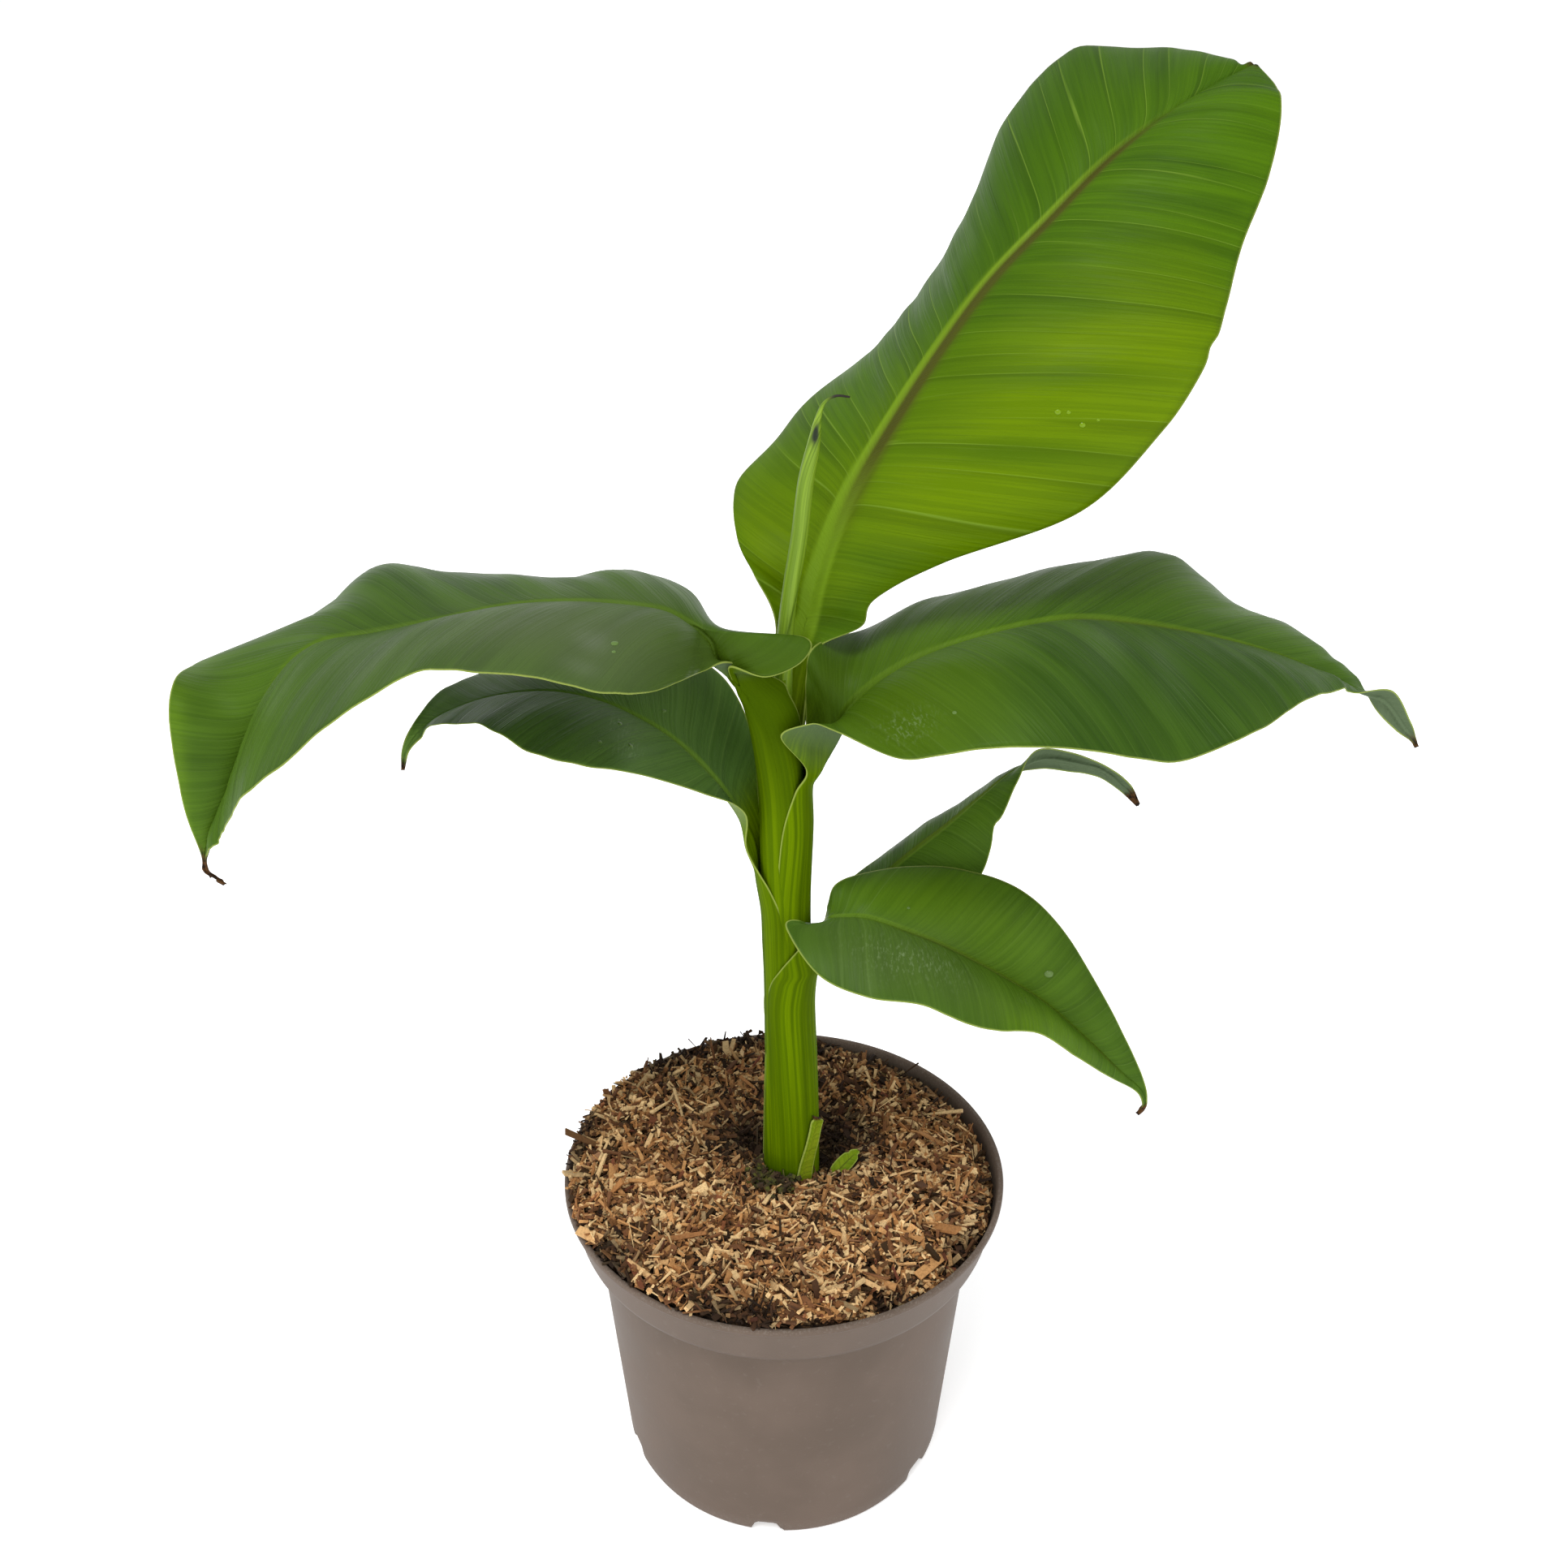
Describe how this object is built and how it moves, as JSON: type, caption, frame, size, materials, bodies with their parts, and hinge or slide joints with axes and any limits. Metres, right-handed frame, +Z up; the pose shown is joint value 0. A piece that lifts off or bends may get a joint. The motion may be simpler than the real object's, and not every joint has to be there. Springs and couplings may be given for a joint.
{
  "type": "potted banana plant",
  "caption": "Young banana plant with open paddle leaves and a rolled new leaf on its pseudostem, in a round plastic nursery pot filled with fibre soil.",
  "frame": {"origin": "centre of the pot's flat underside, where the pot stands on the ground", "axes": "+Z up along the pot's axis, +X to the right and -Y towards the viewer in the pictured view"},
  "size_m": [0.6765, 0.3056, 0.8551],
  "materials": {
    "pot_plastic": "satin moulded taupe plastic",
    "soil": "rough loose wood fibre and coir chips",
    "stem": "smooth green leaf sheaths",
    "rolled_leaf": "pale green rolled leaf",
    "young_leaf": "bright green waxy leaf with fine parallel veins",
    "leaf": "dark green waxy leaf with fine parallel veins"
  },
  "bodies": {
    "root": {"pot": "pot_plastic", "root_ball": "soil", "pseudostem": "stem", "rolled_leaf": "rolled_leaf", "leaf_top": "young_leaf", "leaf_upper_left": "leaf", "leaf_upper_right": "leaf", "leaf_lower_left": "leaf", "leaf_lower_right_front": "leaf", "leaf_lower_right_back": "leaf", "sheath_stub": "stem", "cut_stump": "stem"}
  },
  "joints": []
}
